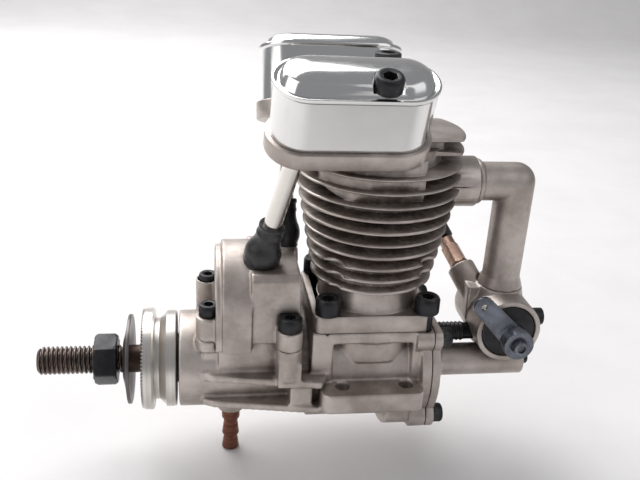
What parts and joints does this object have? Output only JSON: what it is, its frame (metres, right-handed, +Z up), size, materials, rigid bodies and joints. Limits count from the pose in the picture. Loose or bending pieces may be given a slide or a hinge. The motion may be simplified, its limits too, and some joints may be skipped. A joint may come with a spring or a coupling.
{
  "type": "model glow engine",
  "caption": "Single-cylinder four-stroke model glow engine with finned cylinder, twin rocker covers, front propeller drive and rear carburettor.",
  "frame": {"origin": "where the crank axis meets the cylinder axis, on the plane of the beam lugs' upper faces", "axes": "-X towards the propeller, +X towards the carburettor, +Y towards the right-hand valve bank, +Z up the cylinder"},
  "size_m": [0.148, 0.0633, 0.1244],
  "materials": {
    "cast_body": "bead-blasted cast aluminium, warm grey",
    "fins": "machined and lightly browned by heat",
    "machined_aluminium": "satin, turned",
    "rod_alloy": "satin",
    "bright_chrome": "mirror polish",
    "black_oxide": "black oxide",
    "dark_steel": "dark, oiled",
    "washer_steel": "dark, turned",
    "plain_steel": "satin",
    "spring_steel": "satin",
    "lever_steel": "blue-grey",
    "brass": "machined",
    "aged_brass": "copper-brown, aged",
    "needle_black": "matt sleeve over a steel stem",
    "boot_rubber": "matt black",
    "cap_black": "matt black insulation",
    "bronze": "bronze"
  },
  "bodies": {
    "engine": {"crankcase": "cast_body", "rear_cover": "cast_body", "rear_cover_screws": "black_oxide", "breather_nipple": "aged_brass", "cylinder": "fins", "base_screws": "black_oxide", "valve_guides": "bronze", "glow_plug": "brass", "plug_cap": "cap_black", "cam_housing": "cast_body", "cam_housing_screws": "black_oxide", "cam_spindle": "plain_steel", "front_bearing_outer": "plain_steel", "rear_bearing_outer": "plain_steel", "rocker_cover_screws": "black_oxide", "intake_pipe": "cast_body", "carburettor_body": "cast_body", "carburettor_stay": "black_oxide", "carburettor_screws": "black_oxide", "needle_holder": "brass", "fuel_nipple": "brass", "left_pushrod_tube": "machined_aluminium", "right_pushrod_tube": "machined_aluminium", "left_tube_boot": "boot_rubber", "right_tube_boot": "boot_rubber", "left_rocker_shaft": "plain_steel", "right_rocker_shaft": "plain_steel", "left_rocker_cover": "bright_chrome", "right_rocker_cover": "bright_chrome", "left_valve_spring": "spring_steel", "right_valve_spring": "spring_steel"},
    "crank": {"crankshaft": "dark_steel", "crank_gear": "plain_steel", "front_bearing_inner": "plain_steel", "rear_bearing_inner": "plain_steel", "drive_collet": "plain_steel", "drive_flange": "machined_aluminium", "prop_washer": "washer_steel", "prop_nut": "black_oxide"},
    "cam": {"cam_gear": "plain_steel", "cam_lobes": "plain_steel"},
    "piston": {"piston": "machined_aluminium", "piston_ring": "plain_steel", "wrist_pin": "plain_steel", "connecting_rod": "rod_alloy", "crank_pin": "plain_steel"},
    "throttle": {"throttle_barrel": "black_oxide", "throttle_lever": "lever_steel", "idle_needle": "lever_steel"},
    "needle": {"main_needle": "needle_black"},
    "left_rocker": {"left_rocker_arm": "plain_steel"},
    "left_valve": {"left_valve": "plain_steel", "left_spring_retainer": "plain_steel"},
    "left_pushrod": {"left_pushrod": "plain_steel"},
    "left_tappet": {"left_tappet": "plain_steel"},
    "right_rocker": {"right_rocker_arm": "plain_steel"},
    "right_valve": {"right_valve": "plain_steel", "right_spring_retainer": "plain_steel"},
    "right_pushrod": {"right_pushrod": "plain_steel"},
    "right_tappet": {"right_tappet": "plain_steel"}
  },
  "joints": [
    {"name": "crank_spin", "type": "hinge", "parent": "engine", "child": "crank", "pos_m": [-0.04, 0, 0], "axis": [1, 0, 0], "continuous": true},
    {"name": "cam_spin", "type": "hinge", "parent": "engine", "child": "cam", "pos_m": [-0.032, 0, 0.0204], "axis": [1, 0, 0], "continuous": true},
    {"name": "piston_slide", "type": "slide", "parent": "engine", "child": "piston", "axis": [0, 0, 1], "range_m": [-0.0192, 0]},
    {"name": "right_rocker_tilt", "type": "hinge", "parent": "engine", "child": "right_rocker", "pos_m": [-0.0118, 0.02258, 0.08052], "axis": [0, 0.9205, -0.3907], "range_deg": [0, 10.5]},
    {"name": "right_valve_slide", "type": "slide", "parent": "engine", "child": "right_valve", "axis": [0, -0.3907, -0.9205], "range_m": [0, 0.00218], "stiffness_N_per_m": 60, "springref_m": -0.01, "deforming": ["right_valve_spring"]},
    {"name": "right_pushrod_slide", "type": "slide", "parent": "engine", "child": "right_pushrod", "axis": [0.0771, 0.2874, 0.9547], "range_m": [0, 0.0022]},
    {"name": "right_tappet_slide", "type": "slide", "parent": "engine", "child": "right_tappet", "axis": [0, 0.4195, 0.9078], "range_m": [0, 0.002]},
    {"name": "left_rocker_tilt", "type": "hinge", "parent": "engine", "child": "left_rocker", "pos_m": [-0.0118, -0.02258, 0.08052], "axis": [0, 0.9205, 0.3907], "range_deg": [0, 10.5]},
    {"name": "left_valve_slide", "type": "slide", "parent": "engine", "child": "left_valve", "axis": [0, 0.3907, -0.9205], "range_m": [0, 0.00218], "stiffness_N_per_m": 60, "springref_m": -0.01, "deforming": ["left_valve_spring"]},
    {"name": "left_pushrod_slide", "type": "slide", "parent": "engine", "child": "left_pushrod", "axis": [0.209, -0.2819, 0.9364], "range_m": [0, 0.0022]},
    {"name": "left_tappet_slide", "type": "slide", "parent": "engine", "child": "left_tappet", "axis": [0, -0.4195, 0.9078], "range_m": [0, 0.002]},
    {"name": "throttle_turn", "type": "hinge", "parent": "engine", "child": "throttle", "pos_m": [0.04, 0, 0.013], "axis": [0, 1, 0], "range_deg": [0, 75]},
    {"name": "needle_turn", "type": "hinge", "parent": "engine", "child": "needle", "pos_m": [0.0324, 0.006, 0.021], "axis": [-0.3071, 0.7672, 0.5631], "range_deg": [0, 720]}
  ],
  "couplings": [
    {"joint": "cam_spin", "follows": "crank_spin", "ratio": -0.5},
    {"joint": "right_rocker_tilt", "follows": "right_valve_slide", "rad_per_m": 84.03},
    {"joint": "right_pushrod_slide", "follows": "right_valve_slide", "ratio": 0.8571},
    {"joint": "right_tappet_slide", "follows": "right_valve_slide", "ratio": 0.7983},
    {"joint": "left_rocker_tilt", "follows": "left_valve_slide", "rad_per_m": 84.03},
    {"joint": "left_pushrod_slide", "follows": "left_valve_slide", "ratio": 0.9327},
    {"joint": "left_tappet_slide", "follows": "left_valve_slide", "ratio": 0.8571}
  ]
}
